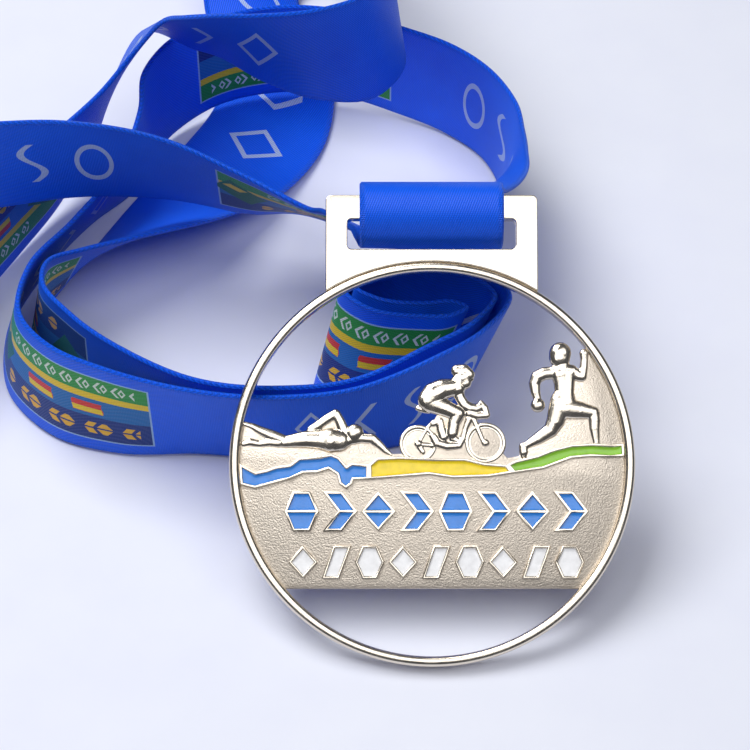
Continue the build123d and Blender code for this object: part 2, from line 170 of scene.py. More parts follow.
# ---- Hanger plate ----
# A flat tongue of the same casting over the ring, with the long slot that the ribbon passes through.
# Its face is lapped flat, and the barrel has only just broken its edges.
MERGE_WITHIN = 0.002


def cast_copy(cad_node, name, edge, material, segments=3):
    """The shape of a CAD node, with its triangles merged and its edges rounded by so much, in millimetres."""
    piece = frame["nodes"][cad_node].copy()
    piece.data = piece.data.copy()
    piece.parent = None
    piece.matrix_world = Matrix.Identity(4)
    piece.name = name
    bpy.context.collection.objects.link(piece)
    pick(piece)
    bpy.ops.object.mode_set(mode="EDIT")
    bpy.ops.mesh.select_all(action="SELECT")
    bpy.ops.mesh.remove_doubles(threshold=MERGE_WITHIN * MM)
    bpy.ops.mesh.dissolve_limited(angle_limit=math.radians(2))
    bpy.ops.object.mode_set(mode="OBJECT")
    if edge:
        apply_modifier(piece, "BEVEL", width=edge * MM, segments=segments, limit_method="ANGLE",
                       angle_limit=math.radians(40))
    pick(piece)
    bpy.ops.object.shade_smooth_by_angle(angle=math.radians(35))
    finish_with(piece, material)
    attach(piece, "medal")
    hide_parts(cad_node)
    return piece


cast_copy("hanger_plate", "hanger_tongue", 0.28, bright_nickel, 4)


# ---- Pierced panel ----
# The wall across the ring that carries the scene. Its face is sandblasted before plating, so it is a soft, sparkling
# grey between the bright raised work. The grit's dents are drawn 0.24 mm wide so that they show.
GRIT = 0.24
blasted_nickel, shader = surface("sandblasted_nickel_plate", {
    "Base Color": linear("DDD2C4"), "Metallic": 1.0, "Roughness": 0.42})
place = node(blasted_nickel, "ShaderNodeTexCoord")
dents = node(blasted_nickel, "ShaderNodeTexVoronoi", {
    "Vector": place.outputs["Object"], "Scale": 1 / (GRIT * MM)}, feature="SMOOTH_F1")
grain = node(blasted_nickel, "ShaderNodeTexNoise", {
    "Vector": place.outputs["Object"], "Scale": 1 / (1.6 * GRIT * MM), "Detail": 4.0, "Roughness": 0.7})
dulling = node(blasted_nickel, "ShaderNodeMapRange", {
    "Value": grain.outputs["Fac"], "From Min": 0.35, "From Max": 0.65, "To Min": 0.34, "To Max": 0.52})
hollow = node(blasted_nickel, "ShaderNodeBump", {
    "Height": dents.outputs["Distance"], "Strength": 0.5, "Distance": 0.1 * MM})
hollow = node(blasted_nickel, "ShaderNodeBump", {
    "Height": grain.outputs["Fac"], "Strength": 0.6, "Distance": 0.12 * MM, "Normal": hollow.outputs["Normal"]})
blasted_nickel.node_tree.links.new(dulling.outputs["Result"], shader.inputs["Roughness"])
blasted_nickel.node_tree.links.new(hollow.outputs["Normal"], shader.inputs["Normal"])
cast_copy("scene_panel", "sandblasted_panel", 0.1, blasted_nickel, 2)


# ---- Raised borders and enamel ----
# Thin walls stand up round each pool of soft enamel: a coloured resin, dripped in with a needle and baked. It shrinks
# as it cures, so its face clings to the walls and dips between them: by POOL_DIP in the middle, most of it within
# POOL_EDGE of a wall.
POOL_GRID = 0.12
POOL_EDGE = 0.35
POOL_DIP = 0.14
OUTLINE_STEP = 0.1
FACES_OUT = 0.7
ENAMELS = {
    "wave_enamel": ("blue_enamel", "2C86E4"),
    "road_enamel": ("yellow_enamel", "FFE010"),
    "hill_enamel": ("green_enamel", "8CCB2E"),
    "upper_row_enamel": ("blue_enamel", "2C86E4"),
    "lower_row_enamel": ("white_enamel", "F4F4F6"),
}


def flat_place(point):
    """A point on the medal, laid flat on its face, in millimetres."""
    spot = from_flat.inverted() @ point
    return Vector((spot.x, spot.y, 0))


cast_copy("enamel_borders", "band_border", 0.2, bright_nickel)
cast_copy("upper_row_borders", "upper_mark_borders", 0.2, bright_nickel)
cast_copy("lower_row_borders", "lower_mark_borders", 0.2, bright_nickel)

for cad_node, (slot, colour) in ENAMELS.items():
    enamel = bpy.data.materials.get("soft_" + slot)
    if enamel is None:
        # Baked resin over metal: glossy, slightly uneven, and deeper in colour where the pool is thicker.
        enamel, shader = surface("soft_" + slot, {
            "Base Color": linear(colour), "Roughness": 0.22, "IOR": 1.5, "Coat Weight": 0.4,
            "Coat Roughness": 0.08})
        place = node(enamel, "ShaderNodeTexCoord")
        swirl = node(enamel, "ShaderNodeTexNoise", {
            "Vector": place.outputs["Object"], "Scale": 1 / (1.5 * MM), "Detail": 2.0})
        depth = node(enamel, "ShaderNodeMapRange", {
            "Value": swirl.outputs["Fac"], "From Min": 0.3, "From Max": 0.7, "To Min": 0.9, "To Max": 1.06})
        tint = node(enamel, "ShaderNodeHueSaturation", {
            "Value": depth.outputs["Result"], "Color": linear(colour)})
        skin = node(enamel, "ShaderNodeBump", {
            "Height": swirl.outputs["Fac"], "Strength": 0.15, "Distance": 0.05 * MM})
        enamel.node_tree.links.new(tint.outputs["Color"], shader.inputs["Base Color"])
        enamel.node_tree.links.new(skin.outputs["Normal"], shader.inputs["Normal"])
    pool = cast_copy(cad_node, cad_node.replace("_enamel", "_pool"), 0, enamel)
    outline_points = []
    for edge in pool.data.edges:
        start, end = (pool.data.vertices[v].co for v in edge.vertices)
        if abs((end - start).dot(out_of_face)) < 0.01 * MM:
            steps = max(1, round((end - start).length / (OUTLINE_STEP * MM)))
            outline_points += [flat_place(start.lerp(end, k / steps)) for k in range(steps)]
    wall = KDTree(len(outline_points))
    for k, point in enumerate(outline_points):
        wall.insert(point, k)
    wall.balance()
    apply_modifier(pool, "REMESH", mode="VOXEL", voxel_size=POOL_GRID * MM)
    for vertex in pool.data.vertices:
        from_wall = wall.find(flat_place(vertex.co))[2]
        sunk = POOL_DIP * (1 - math.exp(-from_wall / POOL_EDGE))
        if vertex.normal.dot(out_of_face) > FACES_OUT:
            vertex.co -= out_of_face * sunk * MM
    pick(pool)
    bpy.ops.object.shade_smooth_by_angle(angle=math.radians(50))


# ---- The three athletes ----
# Each figure is sculpted into the die in low relief and comes out of the barrel bright all over, like poured metal.
# A limb is a run of swellings, each with its place and its half width before GIRTH; heads are plain rounded forms.
# FLATTEN lowers the fronts, and the backs are cut off level inside the panel.
FIGURE_LEVEL = 0.3
FIGURE_BACK = -1.05
FIGURE_GRID = 0.1
FLATTEN = 0.5
DEEPEN = 2
GIRTH = 1.38
SWIMMER = [
    [(-32.5, 6.8, 0.3), (-31, 6.35, 0.42), (-29.4, 5.5, 0.58), (-27.5, 4.7, 0.72), (-25.5, 3.9, 0.7)],
    [(-32.5, 3.3, 0.4), (-31.4, 3.6, 0.55), (-29.8, 3.3, 0.45), (-28, 3.6, 0.58), (-26.5, 3.5, 0.65)],
    [(-25.5, 3.6, 0.75), (-23.5, 3.9, 0.95), (-21.5, 4.1, 1.15), (-19.5, 4.05, 1.25), (-17.5, 3.9, 1.6),
     (-16, 3.8, 1.4), (-15, 3.9, 1)],
    [(-15.1, 5.2, 0.75), (-15.8, 7, 0.65), (-16.6, 8.5, 0.6), (-18.3, 7.5, 0.6), (-19.8, 6.4, 0.6),
     (-20.9, 5.8, 0.5)],
    [(-13.5, 5.1, 1.1), (-13.3, 5.3, 1.1)],
    [(-14.3, 4.1, 0.8), (-12.2, 4.3, 0.65), (-10.4, 4.2, 0.7), (-9.2, 3.2, 0.55), (-7.9, 2, 0.38),
     (-7.1, 1.4, 0.25)],
]
RUNNER = [
    [(22.15, 18.3, 1.35), (22.25, 19.1, 1.4)],
    [(22.5, 17.4, 0.95), (22.5, 16.2, 1.1)],
    [(21.1, 15.8, 0.85), (22.5, 16, 1), (24.2, 15.9, 0.85)],
    [(22.2, 15.4, 1.2), (22.5, 14, 1.05), (22.6, 12.3, 1), (22.1, 10.7, 1.25), (22, 9.9, 1.3)],
    [(23.5, 15.5, 1), (23.4, 14, 0.95), (23.3, 12.3, 0.95), (23.3, 10.7, 1.15), (23.2, 9.9, 1.25)],
    [(21.1, 15.7, 0.8), (19.4, 15.5, 0.82), (18.2, 14.9, 0.82), (17.75, 13.8, 0.74), (17.9, 12.3, 0.64),
     (18.2, 11.2, 0.52), (18.3, 10, 0.92)],
    [(24.3, 15.9, 0.75), (25.4, 15.1, 0.72), (25.9, 15, 0.68), (26.25, 16.4, 0.54), (26.4, 18, 0.5),
     (26.35, 19, 0.6)],
    [(23.3, 9.4, 1.35), (25.5, 9.1, 1.15), (27.8, 8.7, 0.85), (28.05, 7.4, 0.75), (28.05, 6, 0.68), (28.3, 4, 0.48),
     (28.4, 2.9, 0.4), (29.2, 2.35, 0.36), (30.2, 2.1, 0.24)],
    [(21.9, 9.3, 1.3), (21.3, 7.2, 1.15), (20.5, 5.7, 0.95), (18.3, 4.2, 0.76), (16.4, 3.1, 0.5), (15.7, 2.9, 0.52),
     (15.8, 1.9, 0.58), (15.8, 1.2, 0.42)],
]
CYCLIST = [
    [(5.3, 14.8, 1), (5.7, 13.9, 0.85)],
    [(4.2, 13.4, 1), (4.8, 14.6, 0.9)],
    [(-0.6, 10.9, 1.4), (0.3, 12, 1.5), (1.8, 12.8, 1.35), (3.6, 13.1, 1.15), (4.3, 12.9, 1.05)],
    [(4.4, 12.6, 0.8), (4.9, 11.2, 0.65), (5.6, 10.1, 0.65), (6.6, 9.5, 0.68), (7.7, 9.4, 0.6), (8.3, 9.7, 0.55)],
    [(-0.3, 10.5, 1.3), (2.3, 9.5, 1.1), (4.5, 8.5, 0.92), (3.8, 7.0, 0.8), (3.5, 5.2, 0.78), (3.6, 4.2, 0.5),
     (4.6, 3.7, 0.42)],
    [(-2.4, 9.5, 0.38), (-1.3, 9.2, 0.42), (-0.5, 9.0, 0.35)],
    [(0.2, 6.8, 0.45), (1.4, 7.2, 0.5), (1.6, 5.7, 0.62), (2.0, 4.5, 0.6)],
    [(0.2, 4.6, 0.5), (0.9, 3.4, 0.6), (2.6, 2.9, 0.6), (4.6, 3.0, 0.5), (5.3, 4.2, 0.42), (5.7, 5.8, 0.38),
     (6.4, 7.6, 0.5)],
    [(6.5, 8.6, 0.62), (7.8, 8.2, 0.5), (9.4, 8.3, 0.5), (9.1, 9.5, 0.5), (8.5, 10.4, 0.34)],
    [(7.1, 7.8, 0.36), (8.9, 3.5, 0.3)],
    [(-0.2, 6.7, 0.26), (-0.9, 5.9, 0.24), (-2.3, 3.3, 0.24)],
    [(-2.1, 3.2, 0.34), (0.4, 3.0, 0.3)],
    [(-2.3, 2.9, 0.4), (-1.6, 1.9, 0.36)],
]
HELMET = [[(4.4, 16.0, 0.82), (5.5, 15.9, 0.95), (6.3, 15.3, 0.82)], [(3.9, 16.0, 0.4), (6.7, 14.6, 0.4)]]
WHEELS = [(-2.4, 3.3, 3.3), (9.2, 3.45, 3.55)]
WHEEL_TUBE = 0.36
RIM_TUBE = 0.15
RIM_INSET = 2.6 * WHEEL_TUBE
HUB = 0.7


def sculpt(name, chains, others, stands_for):
    """Melts chains of swellings, and any other shapes, into one skin and seats it on the medal."""
    parts = list(others)
    for chain in chains:
        chain = [(u, v, radius * GIRTH) for u, v, radius in chain]
        for u, v, radius in chain:
            bpy.ops.mesh.primitive_uv_sphere_add(segments=20, ring_count=12, radius=radius, location=(u, v, 0))
            parts.append(bpy.context.object)
        for (u1, v1, r1), (u2, v2, r2) in zip(chain, chain[1:]):
            bpy.ops.mesh.primitive_cone_add(
                vertices=20, radius1=r1, radius2=r2, depth=math.hypot(u2 - u1, v2 - v1),
                location=((u1 + u2) / 2, (v1 + v2) / 2, 0),
                rotation=(0, math.pi / 2, math.atan2(v2 - v1, u2 - u1)))
            parts.append(bpy.context.object)
    pick(*parts)
    bpy.ops.object.join()
    body = bpy.context.object
    body.name = name
    pick(body)
    bpy.ops.object.transform_apply(location=True, rotation=True, scale=True)
    apply_modifier(body, "REMESH", mode="VOXEL", voxel_size=FIGURE_GRID)
    apply_modifier(body, "SMOOTH", factor=0.5, iterations=2)
    for vertex in body.data.vertices:
        vertex.co.z = FIGURE_LEVEL + vertex.co.z * (FLATTEN if vertex.co.z > 0 else DEEPEN)
        vertex.co.z = max(vertex.co.z, FIGURE_BACK)
    pick(body)
    bpy.ops.object.shade_smooth()
    seat_on_medal(body, bright_nickel, stands_for)


bpy.ops.object.select_all(action="DESELECT")
sculpt("swimmer", SWIMMER, [], "swimmer_relief")
sculpt("runner", RUNNER, [], "runner_relief")

wheel_parts = []
for u, v, radius in WHEELS:
    bpy.ops.mesh.primitive_torus_add(
        location=(u, v, 0), major_radius=radius - WHEEL_TUBE, minor_radius=WHEEL_TUBE, major_segments=72,
        minor_segments=14)
    wheel_parts.append(bpy.context.object)
    bpy.ops.mesh.primitive_torus_add(
        location=(u, v, 0.05), major_radius=radius - RIM_INSET, minor_radius=RIM_TUBE, major_segments=72,
        minor_segments=10)
    wheel_parts.append(bpy.context.object)
    bpy.ops.mesh.primitive_uv_sphere_add(segments=24, ring_count=14, radius=HUB, location=(u, v, 0.1))
    wheel_parts.append(bpy.context.object)
sculpt("cyclist", CYCLIST + HELMET, wheel_parts, "cyclist_relief")


# ---- Ribbon ----
# A woven polyester satin ribbon, 25 mm wide, dye-printed on both faces and sewn into one loop. It goes over the
# hanger's bar, down through the slot, and lies on its edge in curls. Each station of its route is its middle, in
# millimetres where the middle of the bar is at BAR, and the way across it.
RIBBON_WIDTH = 25.0
RIBBON_THICKNESS = 0.9
EDGE_ROLL = 0.3
SECTIONS = 8
ACROSS = 20
UV_SCALE = 0.01
BAR = Vector((0, 37.4, 44.6))
ROUTE = [
    # bar wrap
    ((0, 41.5, 46.3), (-1, 0, 0)),
    ((0, 37.4, 48.4), (-1, 0, 0)),
    ((0, 34.1, 46.8), (-1, 0, 0)),
    ((0, 32.7, 43.3), (-1, 0, 0)),
    # slot leg
    ((0, 33.6, 39.3), (-1, 0, 0)),
    ((-1, 37, 34.7), (-0.98, -0.01, 0.2)),
    ((-3.5, 42.3, 30.3), (-0.88, -0.12, 0.47)),
    ((-8.5, 47.5, 26.4), (-0.69, -0.29, 0.67)),
    ((-14.5, 52.4, 24.4), (-0.39, -0.47, 0.79)),
    # left span
    ((-22, 55.8, 24.2), (0, -0.65, 0.76)),
    ((-33, 58.3, 26), (0, -0.47, 0.88)),
    ((-47, 60.3, 30.4), (0, -0.32, 0.95)),
    ((-65, 57.2, 36.4), (0, -0.2, 0.98)),
    ((-80, 53.2, 38.8), (0, -0.12, 0.99)),
    # left loop
    ((-94, 52.6, 38), (0, -0.07, 1)),
    ((-107, 50.5, 32), (0, -0.07, 1)),
    ((-115, 42.9, 25), (0, -0.07, 1)),
    ((-112.5, 32.2, 19.5), (0, -0.07, 1)),
    ((-101.5, 29.9, 15.3), (0, -0.07, 1)),
    ((-92.5, 37.9, 13.4), (0, -0.07, 1)),
    # left return
    ((-86.5, 51.7, 12.8), (0, -0.07, 1)),
    ((-78, 66, 12.8), (0.05, -0.07, 1)),
    ((-70, 76.9, 14.5), (0.1, -0.17, 0.98)),
    # rising span
    ((-63, 84.5, 20), (0.15, -0.38, 0.91)),
    ((-57.2, 90.6, 28.1), (0.27, -0.49, 0.83)),
    ((-51.2, 93.3, 35.6), (0.2, -0.66, 0.72)),
    # rear arch
    ((-44.5, 89, 37.8), (0, -0.55, 0.83)),
    ((-39.5, 86.2, 39.6), (0, -0.49, 0.87)),
    ((-31, 83.1, 39.4), (0, -0.3, 0.95)),
    ((-20, 81.5, 39.2), (0, -0.07, 1)),
    ((-10.5, 84.1, 39.2), (-0.05, 0.09, 0.99)),
    ((-6, 91, 39.8), (-0.12, 0.06, 0.99)),
    # rear turn
    ((-7.5, 100.5, 40.3), (-0.1, -0.07, 0.99)),
    ((-10.5, 112.2, 39.2), (-0.05, -0.07, 1)),
    ((-13, 125.2, 33), (0, -0.07, 1)),
    ((-16, 138.5, 25), (0.05, 0.09, 0.99)),
    ((-23, 147, 16.2), (-0.15, 0.38, 0.92)),
    ((-32, 143.8, 11.3), (-0.5, 0.4, 0.76)),
    # flat span
    ((-34, 132, 4.8), (-0.87, 0.28, 0.38)),
    ((-30.5, 118.5, 1.3), (-0.98, 0.22, 0.02)),
    ((-30.5, 103.3, 0.6), (-0.88, 0.48, 0)),
    ((-37.5, 88.4, 1.7), (-0.83, 0.55, -0.08)),
    # twisted span
    ((-47, 74.4, 5.5), (-0.76, 0.52, -0.39)),
    ((-58, 61.4, 9.9), (-0.44, 0.53, -0.72)),
    # inner return
    ((-66.5, 52.8, 11.7), (-0.26, 0.4, -0.88)),
    ((-71.5, 45.9, 12.5), (-0.2, 0.19, -0.96)),
    ((-71, 38.5, 12.7), (-0.12, 0.07, -0.99)),
    # inner span
    ((-65, 31.6, 12.8), (-0.05, 0.09, -0.99)),
    ((-55, 23.2, 12.8), (0, 0.07, -1)),
    ((-42, 18.1, 12.7), (0, 0.22, -0.98)),
    ((-26, 16.2, 12.7), (0, 0.23, -0.97)),
    ((-11, 18.6, 12.7), (0, 0.2, -0.98)),
    ((-2.6, 23.2, 12.5), (-0.13, 0.05, -0.98)),
    # roll inner
    ((4.9, 29.1, 12.3), (-0.28, -0.05, -0.96)),
    ((7.5, 34.2, 12.3), (-0.35, -0.13, -0.93)),
    ((3.6, 38.4, 12.3), (-0.33, -0.13, -0.93)),
    ((-4.5, 39.5, 12.3), (-0.28, -0.13, -0.95)),
    ((-12.6, 38.6, 12.3), (-0.24, -0.13, -0.96)),
    ((-15.8, 35.7, 12.3), (-0.22, -0.13, -0.97)),
    ((-12.2, 33.1, 12.3), (-0.24, -0.13, -0.96)),
    ((-4.5, 32.1, 12.3), (-0.28, -0.13, -0.95)),
    ((0.6, 32.5, 12.3), (-0.31, -0.13, -0.94)),
    # roll outer
    ((2.7, 31.2, 12.3), (-0.32, -0.13, -0.94)),
    ((0.6, 29.6, 12.3), (-0.31, -0.13, -0.94)),
    ((-5.4, 29.1, 12.3), (-0.28, -0.13, -0.95)),
    ((-13.9, 30.8, 12.3), (-0.23, -0.13, -0.96)),
    ((-18.2, 35.7, 12.3), (-0.21, -0.13, -0.97)),
    ((-13.9, 40.6, 12.3), (-0.23, -0.13, -0.96)),
    ((-4.5, 41.7, 12.3), (-0.28, -0.13, -0.95)),
    ((5.3, 40.3, 12.3), (-0.33, -0.13, -0.93)),
    ((10, 34.4, 12.3), (-0.36, -0.13, -0.92)),
    # front span
    ((6.3, 26.8, 12.3), (-0.28, -0.05, -0.96)),
    ((-1, 20.8, 12.5), (-0.13, 0.05, -0.98)),
    ((-11, 16.3, 12.7), (0, 0.2, -0.98)),
    ((-26, 14.1, 12.7), (0, 0.23, -0.97)),
    ((-42, 15.4, 12.7), (0, 0.22, -0.98)),
    ((-57, 17.9, 12.7), (0, 0.05, -1)),
    ((-68, 22.7, 12.7), (-0.05, -0.01, -1)),
    # left bend
    ((-75, 31.1, 12.6), (-0.15, 0.05, -0.99)),
    ((-75.5, 44.3, 12.5), (-0.25, 0.17, -0.95)),
    ((-69, 59.2, 11.5), (-0.31, 0.31, -0.9)),
    ((-61.5, 71.8, 11.7), (-0.3, 0.27, -0.92)),
    # rear corner
    ((-55.5, 83.4, 12.6), (-0.1, 0.12, -0.99)),
    ((-54, 92.4, 12.8), (0, 0.07, -1)),
    ((-50, 99.2, 13.3), (0, 0.02, -1)),
    # rear span
    ((-42, 104.7, 14.6), (0, 0.07, -1)),
    ((-31, 108.1, 15), (0, 0.07, -1)),
    ((-18, 107.8, 14.9), (0, 0.07, -1)),
    # right span
    ((-5, 103.9, 13.6), (0, 0.05, -1)),
    ((5, 99.2, 12.8), (-0.03, 0.04, -1)),
    ((12, 92.4, 12.8), (-0.03, 0.04, -1)),
    ((15.8, 83.9, 12.9), (-0.08, 0.04, -1)),
    # bar leg
    ((15.5, 74.9, 14.7), (-0.2, 0.07, -0.98)),
    ((12, 65.8, 19.6), (-0.51, 0.06, -0.86)),
    ((7, 57.2, 27), (-0.86, 0.04, -0.51)),
    ((2.5, 49.6, 35.2), (-0.99, 0.01, -0.15)),
    ((0.5, 44.5, 41.7), (-1, 0, 0)),
]
# Where the print falls: the distance along the ribbon, and the place in the print that lies there, on each face.
PRINT_REPEAT = 135.0
FRONT_PRINT = [(26.8, 0), (66.8, 40), (90.4, 64), (102.5, 75.5), (125, 97), (498, 405), (538, 445), (901.5, 810),
               (941.5, 850), (960.5, 874), (970.5, 885), (1063.5, 945)]
BACK_PRINT = [(195, 0), (235, 40), (330, 135), (507, 270), (547, 310), (664.5, 405), (704.5, 445), (732, 469),
              (742, 480), (751.5, 491), (761, 502), (789.5, 540), (831.5, 582), (1231.5, 945)]


def between(values, gaps, t):
    """A smooth curve through the middle two of four values; gaps are the distances between them."""
    before, here, there, after = values
    d0, d1, d2 = gaps
    leave = ((here - before) * (d1 / d0) + (there - here) * (d0 / d1)) * (d1 / (d0 + d1))
    arrive = ((there - here) * (d2 / d1) + (after - there) * (d1 / d2)) * (d1 / (d1 + d2))
    return (here * (2 * t**3 - 3 * t**2 + 1) + leave * (t**3 - 2 * t**2 + t)
            + there * (3 * t**2 - 2 * t**3) + arrive * (t**3 - t**2))


points = [(Vector(middle) - BAR) * MM + hinge for middle, _ in ROUTE]
edgeways = [Vector(across).normalized() for _, across in ROUTE]
middles = []
acrosses = []
count = len(ROUTE)
for i in range(count):
    near = [(i + k) % count for k in (-1, 0, 1, 2)]
    gaps = [(points[near[k + 1]] - points[near[k]]).length for k in range(3)]
    for step in range(SECTIONS):
        t = step / SECTIONS
        middles.append(between([points[k] for k in near], gaps, t))
        acrosses.append(between([edgeways[k] for k in near], gaps, t).normalized())

count = len(middles)
outs = [acrosses[i].cross(middles[(i + 1) % count] - middles[i - 1]).normalized() for i in range(count)]
along = [0.0]
for i in range(count):
    along.append(along[-1] + (middles[(i + 1) % count] - middles[i]).length / MM)
loop_length = along[-1]
# Distances to the print's knots are counted from the route's second station.
counted_from = along[SECTIONS]

half_width = RIBBON_WIDTH / 2
half_thickness = RIBBON_THICKNESS / 2
outline = []
for k in range(ACROSS + 1):
    outline.append(((half_width - EDGE_ROLL) * (1 - 2 * k / ACROSS), half_thickness))
outline += [(-half_width, half_thickness - EDGE_ROLL), (-half_width, EDGE_ROLL - half_thickness)]
for k in range(ACROSS + 1):
    outline.append(((half_width - EDGE_ROLL) * (2 * k / ACROSS - 1), -half_thickness))
outline += [(half_width, EDGE_ROLL - half_thickness), (half_width, half_thickness - EDGE_ROLL)]


def printed_place(distance, knots):
    """The place in the print at a distance along the ribbon; knots repeat once a loop."""
    first = knots[0][0]
    rest = (distance - first) % loop_length
    return float(np.interp(first + rest, [k[0] for k in knots], [k[1] for k in knots]))


def ribbon_mesh(name, first, last, lift=0.0):
    """A stretch of the ribbon, or its whole loop. The "print" UV map holds the place in the print, and "weave" the
    place in the cloth, both as UV_SCALE times millimetres."""
    closed = last - first == count
    rows = range(first, last) if closed else range(first, last + 1)
    vertices = []
    for row in rows:
        i = row % count
        for across, out in outline:
            vertices.append(middles[i] + acrosses[i] * across * MM + outs[i] * (out + lift) * MM)
    ring = len(outline)
    faces = []
    sheets = []
    for r in range(len(rows) if closed else len(rows) - 1):
        for k in range(ring):
            after = (r + 1) % len(rows)
            faces.append((r * ring + k, r * ring + (k + 1) % ring, after * ring + (k + 1) % ring, after * ring + k))
            sheets.append((r + first, k))
    if not closed:
        faces.append(tuple(range(ring)))
        faces.append(tuple(reversed(range((len(rows) - 1) * ring, len(rows) * ring))))
    mesh = bpy.data.meshes.new(name)
    mesh.from_pydata(vertices, [], faces)
    print_map = mesh.uv_layers.new(name="print")
    weave_map = mesh.uv_layers.new(name="weave")
    for face, (row, k) in zip(mesh.polygons, sheets):
        on_front = k < ACROSS + 1
        knots = FRONT_PRINT if on_front else BACK_PRINT
        places = [printed_place(along[(row + step) % count] - counted_from, knots) for step in (0, 1)]
        if places[1] < places[0]:
            places[1] = places[0] + 1.0
        for corner, (step, side) in zip(face.loop_indices, ((0, 0), (0, 1), (1, 1), (1, 0))):
            across = outline[(k + side) % ring][0]
            from_green = half_width - across if on_front else half_width + across
            in_cloth = along[row + step - count * (row + step > count)]
            print_map.data[corner].uv = (places[step] * UV_SCALE, from_green * UV_SCALE)
            weave_map.data[corner].uv = (in_cloth * UV_SCALE, across * UV_SCALE)
    piece = bpy.data.objects.new(name, mesh)
    bpy.context.collection.objects.link(piece)
    pick(piece)
    bpy.ops.object.shade_smooth_by_angle(angle=math.radians(40))
    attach(piece, "ribbon_loop")
    return piece


ribbon = ribbon_mesh("printed_ribbon", 0, count)
ribbon_nodes = [name for name in frame["nodes"] if name.startswith("ribbon_") and name != "ribbon_seam_lap"]
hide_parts(*ribbon_nodes)

# Dye-printed polyester satin: its fine ribs run slantwise along it and give a silky sheen, partly from the shader's
# sheen and partly painted, as the print is painted darker in the rib valleys and lighter on the crests. Each selvedge
# is a bead of doubled threads. The ribs are drawn 0.4 mm apart, about twice the real spacing, so that they show.
RIB = 0.4
RIB_SLANT = 68
WEFT = 0.3
WEFT_SHARE = 0.35
SELVEDGE = 1.1
WAVE_TURN = math.pi / 10
ribbon_satin, shader = surface("dye_printed_satin", {
    "Roughness": 0.42, "IOR": 1.5, "Specular IOR Level": 0.25, "Sheen Weight": 0.3, "Sheen Roughness": 0.35,
    "Sheen Tint": linear("5FA0FF")})
print_uv = node(ribbon_satin, "ShaderNodeUVMap", uv_map="print")
print_mm = node(ribbon_satin, "ShaderNodeVectorMath", {0: print_uv.outputs["UV"], "Scale": 1 / UV_SCALE},
                operation="SCALE")
print_xy = node(ribbon_satin, "ShaderNodeSeparateXYZ", {"Vector": print_mm.outputs["Vector"]})
print_along = node(ribbon_satin, "ShaderNodeMath", {0: print_xy.outputs["X"], 1: PRINT_REPEAT},
                   operation="FLOORED_MODULO").outputs["Value"]
print_across = print_xy.outputs["Y"]


def printed(shape, centre, half_size, lean=0.0, bend=None, stroke=1.0, pitch=0.0):
    """Where one printed mark lies, as 0 or 1: a bar, lozenge or ring, leaning or bent along its height. Its stroke is a
    part of its half size, 1 for a filled mark, and with a pitch it repeats along the ribbon."""
    x = node(ribbon_satin, "ShaderNodeMath", {0: print_along, 1: centre[0]}, operation="SUBTRACT").outputs["Value"]
    y = node(ribbon_satin, "ShaderNodeMath", {0: print_across, 1: centre[1]}, operation="SUBTRACT").outputs["Value"]
    if pitch:
        x = node(ribbon_satin, "ShaderNodeMath", {0: x, 1: -pitch / 2, 2: pitch / 2}, operation="WRAP").outputs["Value"]
    way = y
    if bend == "chevron":
        way = node(ribbon_satin, "ShaderNodeMath", {0: y}, operation="ABSOLUTE").outputs["Value"]
    if bend == "wave":
        turn = node(ribbon_satin, "ShaderNodeMath", {0: y, 1: math.pi / half_size[1]}, operation="MULTIPLY")
        way = node(ribbon_satin, "ShaderNodeMath", {0: turn.outputs["Value"]}, operation="SINE").outputs["Value"]
    x = node(ribbon_satin, "ShaderNodeMath", {0: way, 1: lean, 2: x}, operation="MULTIPLY_ADD").outputs["Value"]
    far = []
    for value, half in ((x, half_size[0]), (y, half_size[1])):
        part = node(ribbon_satin, "ShaderNodeMath", {0: value, 1: half}, operation="DIVIDE").outputs["Value"]
        if shape == "ring":
            far.append(node(ribbon_satin, "ShaderNodeMath", {0: part, 1: part}, operation="MULTIPLY").outputs["Value"])
        else:
            far.append(node(ribbon_satin, "ShaderNodeMath", {0: part}, operation="ABSOLUTE").outputs["Value"])
    join = "MAXIMUM" if shape == "bar" else "ADD"
    reach = node(ribbon_satin, "ShaderNodeMath", {0: far[0], 1: far[1]}, operation=join).outputs["Value"]
    return node(ribbon_satin, "ShaderNodeMath", {0: reach, 1: 1 - stroke / 2, 2: stroke / 2},
                operation="COMPARE").outputs["Value"]


